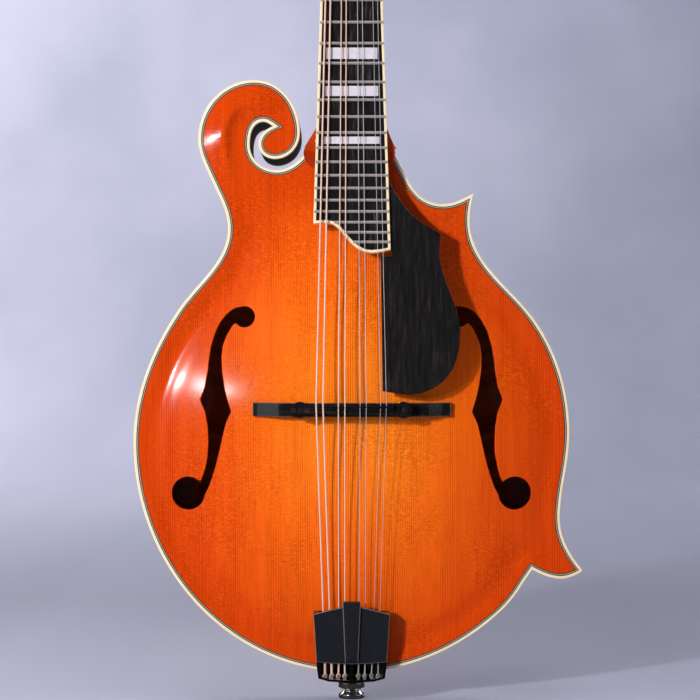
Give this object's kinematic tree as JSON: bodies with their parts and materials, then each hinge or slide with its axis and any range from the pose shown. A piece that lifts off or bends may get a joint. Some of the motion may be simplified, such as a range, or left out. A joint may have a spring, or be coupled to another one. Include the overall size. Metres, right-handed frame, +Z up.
{
  "type": "carved mandolin",
  "caption": "Carved mandolin with a scroll, points, f-holes, adjustable bridge, bound fingerboard, geared tuners and a sliding tailpiece cover.",
  "frame": {"origin": "centre of the strap button's outer flange, on the body centreline", "axes": "+Z up along the body centreline to the headstock, -Y out of the soundboard, +X towards the treble side"},
  "size_m": [0.262, 0.1115, 0.6786],
  "materials": {
    "soundboard_varnish": "gloss sunburst varnish over spruce",
    "maple_varnish": "gloss varnish over flamed maple",
    "bare_wood": "bare, planed",
    "cream_binding": "polished",
    "black_line": "polished",
    "grey_line": "polished",
    "ebony": "satin, oiled",
    "pearl": "polished shell",
    "bone": "polished",
    "nickel": "bright nickel plate",
    "fret_wire": "polished",
    "steel": "plain",
    "brass": "satin",
    "black_cover": "black nickel, polished",
    "bronze_wire": "wound",
    "steel_wire": "bright",
    "pearl_button": "pearloid on a steel worm shaft"
  },
  "bodies": {
    "instrument": {"top_plate": "soundboard_varnish", "back_plate": "maple_varnish", "ribs": "maple_varnish", "head_block": "bare_wood", "tail_block": "bare_wood", "point_blocks": "bare_wood", "linings": "bare_wood", "tone_bars": "bare_wood", "top_binding": "cream_binding", "purfling_black": "black_line", "purfling_white": "grey_line", "back_binding": "cream_binding", "neck": "maple_varnish", "heel_cap": "cream_binding", "truss_rod": "steel", "fingerboard": "ebony", "fingerboard_binding": "cream_binding", "frets": "fret_wire", "inlays": "pearl", "nut": "bone", "headstock_overlay": "ebony", "headstock_binding": "cream_binding", "truss_rod_cover": "ebony", "small_screws": "nickel", "tuner_plates": "nickel", "post_bushings": "nickel", "bridge_base": "ebony", "bridge_posts": "nickel", "pickguard": "ebony", "pickguard_bracket": "ebony", "pickguard_pins": "steel", "tailpiece_frame": "nickel", "tailpiece_screws": "nickel", "end_pin": "nickel", "strings_g": "bronze_wire", "strings_d": "bronze_wire", "strings_a": "steel_wire", "strings_e": "steel_wire"},
    "key_1": {"tuner_1_key": "pearl_button"},
    "post_1": {"tuner_1_post": "nickel"},
    "key_2": {"tuner_2_key": "pearl_button"},
    "post_2": {"tuner_2_post": "nickel"},
    "key_3": {"tuner_3_key": "pearl_button"},
    "post_3": {"tuner_3_post": "nickel"},
    "key_4": {"tuner_4_key": "pearl_button"},
    "post_4": {"tuner_4_post": "nickel"},
    "key_5": {"tuner_5_key": "pearl_button"},
    "post_5": {"tuner_5_post": "nickel"},
    "key_6": {"tuner_6_key": "pearl_button"},
    "post_6": {"tuner_6_post": "nickel"},
    "key_7": {"tuner_7_key": "pearl_button"},
    "post_7": {"tuner_7_post": "nickel"},
    "key_8": {"tuner_8_key": "pearl_button"},
    "post_8": {"tuner_8_post": "nickel"},
    "saddle": {"bridge_saddle": "ebony"},
    "wheel_bass": {"bridge_wheel_bass": "nickel"},
    "wheel_treble": {"bridge_wheel_treble": "nickel"},
    "tail_cover": {"tailpiece_cover": "black_cover", "tailpiece_wedge": "black_cover"},
    "rod_nut": {"truss_rod_nut": "brass"}
  },
  "joints": [
    {"name": "key_1_turn", "type": "hinge", "parent": "instrument", "child": "key_1", "pos_m": [-0.019, 0.01471, 0.54937], "axis": [1, 0, 0], "continuous": true},
    {"name": "post_1_turn", "type": "hinge", "parent": "instrument", "child": "post_1", "pos_m": [-0.019, 0.00109, 0.56225], "axis": [0, 0.9397, -0.342], "continuous": true},
    {"name": "key_2_turn", "type": "hinge", "parent": "instrument", "child": "key_2", "pos_m": [-0.019, 0.02257, 0.57098], "axis": [1, 0, 0], "continuous": true},
    {"name": "post_2_turn", "type": "hinge", "parent": "instrument", "child": "post_2", "pos_m": [-0.019, 0.00896, 0.58386], "axis": [0, 0.9397, -0.342], "continuous": true},
    {"name": "key_3_turn", "type": "hinge", "parent": "instrument", "child": "key_3", "pos_m": [-0.019, 0.03044, 0.59259], "axis": [1, 0, 0], "continuous": true},
    {"name": "post_3_turn", "type": "hinge", "parent": "instrument", "child": "post_3", "pos_m": [-0.019, 0.01682, 0.60548], "axis": [0, 0.9397, -0.342], "continuous": true},
    {"name": "key_4_turn", "type": "hinge", "parent": "instrument", "child": "key_4", "pos_m": [-0.019, 0.03831, 0.61421], "axis": [1, 0, 0], "continuous": true},
    {"name": "post_4_turn", "type": "hinge", "parent": "instrument", "child": "post_4", "pos_m": [-0.019, 0.02469, 0.62709], "axis": [0, 0.9397, -0.342], "continuous": true},
    {"name": "key_5_turn", "type": "hinge", "parent": "instrument", "child": "key_5", "pos_m": [0.019, 0.01471, 0.54937], "axis": [1, 0, 0], "continuous": true},
    {"name": "post_5_turn", "type": "hinge", "parent": "instrument", "child": "post_5", "pos_m": [0.019, 0.00109, 0.56225], "axis": [0, 0.9397, -0.342], "continuous": true},
    {"name": "key_6_turn", "type": "hinge", "parent": "instrument", "child": "key_6", "pos_m": [0.019, 0.02257, 0.57098], "axis": [1, 0, 0], "continuous": true},
    {"name": "post_6_turn", "type": "hinge", "parent": "instrument", "child": "post_6", "pos_m": [0.019, 0.00896, 0.58386], "axis": [0, 0.9397, -0.342], "continuous": true},
    {"name": "key_7_turn", "type": "hinge", "parent": "instrument", "child": "key_7", "pos_m": [0.019, 0.03044, 0.59259], "axis": [1, 0, 0], "continuous": true},
    {"name": "post_7_turn", "type": "hinge", "parent": "instrument", "child": "post_7", "pos_m": [0.019, 0.01682, 0.60548], "axis": [0, 0.9397, -0.342], "continuous": true},
    {"name": "key_8_turn", "type": "hinge", "parent": "instrument", "child": "key_8", "pos_m": [0.019, 0.03831, 0.61421], "axis": [1, 0, 0], "continuous": true},
    {"name": "post_8_turn", "type": "hinge", "parent": "instrument", "child": "post_8", "pos_m": [0.019, 0.02469, 0.62709], "axis": [0, 0.9397, -0.342], "continuous": true},
    {"name": "saddle_height", "type": "slide", "parent": "instrument", "child": "saddle", "axis": [0, -1, 0], "range_m": [-0.0012, 0.0012], "deforming": ["strings_g", "strings_d", "strings_a", "strings_e"]},
    {"name": "wheel_bass_turn", "type": "hinge", "parent": "saddle", "child": "wheel_bass", "pos_m": [-0.0295, -0.048, 0.1708], "axis": [0, -1, 0], "range_deg": [-540, 540]},
    {"name": "wheel_treble_turn", "type": "hinge", "parent": "saddle", "child": "wheel_treble", "pos_m": [0.0295, -0.048, 0.1708], "axis": [0, -1, 0], "range_deg": [-540, 540]},
    {"name": "cover_slide", "type": "slide", "parent": "instrument", "child": "tail_cover", "axis": [0, -0.1599, 0.9871], "range_m": [0, 0.018]},
    {"name": "rod_nut_turn", "type": "hinge", "parent": "instrument", "child": "rod_nut", "pos_m": [0, -0.00422, 0.53473], "axis": [0, 0.1045, 0.9945], "range_deg": [-90, 90]}
  ],
  "couplings": [
    {"joint": "post_1_turn", "follows": "key_1_turn", "ratio": -0.0625},
    {"joint": "post_2_turn", "follows": "key_2_turn", "ratio": -0.0625},
    {"joint": "post_3_turn", "follows": "key_3_turn", "ratio": -0.0625},
    {"joint": "post_4_turn", "follows": "key_4_turn", "ratio": -0.0625},
    {"joint": "post_5_turn", "follows": "key_5_turn", "ratio": 0.0625},
    {"joint": "post_6_turn", "follows": "key_6_turn", "ratio": 0.0625},
    {"joint": "post_7_turn", "follows": "key_7_turn", "ratio": 0.0625},
    {"joint": "post_8_turn", "follows": "key_8_turn", "ratio": 0.0625},
    {"joint": "wheel_bass_turn", "follows": "saddle_height", "rad_per_m": 7850},
    {"joint": "wheel_treble_turn", "follows": "saddle_height", "rad_per_m": 7850}
  ]
}
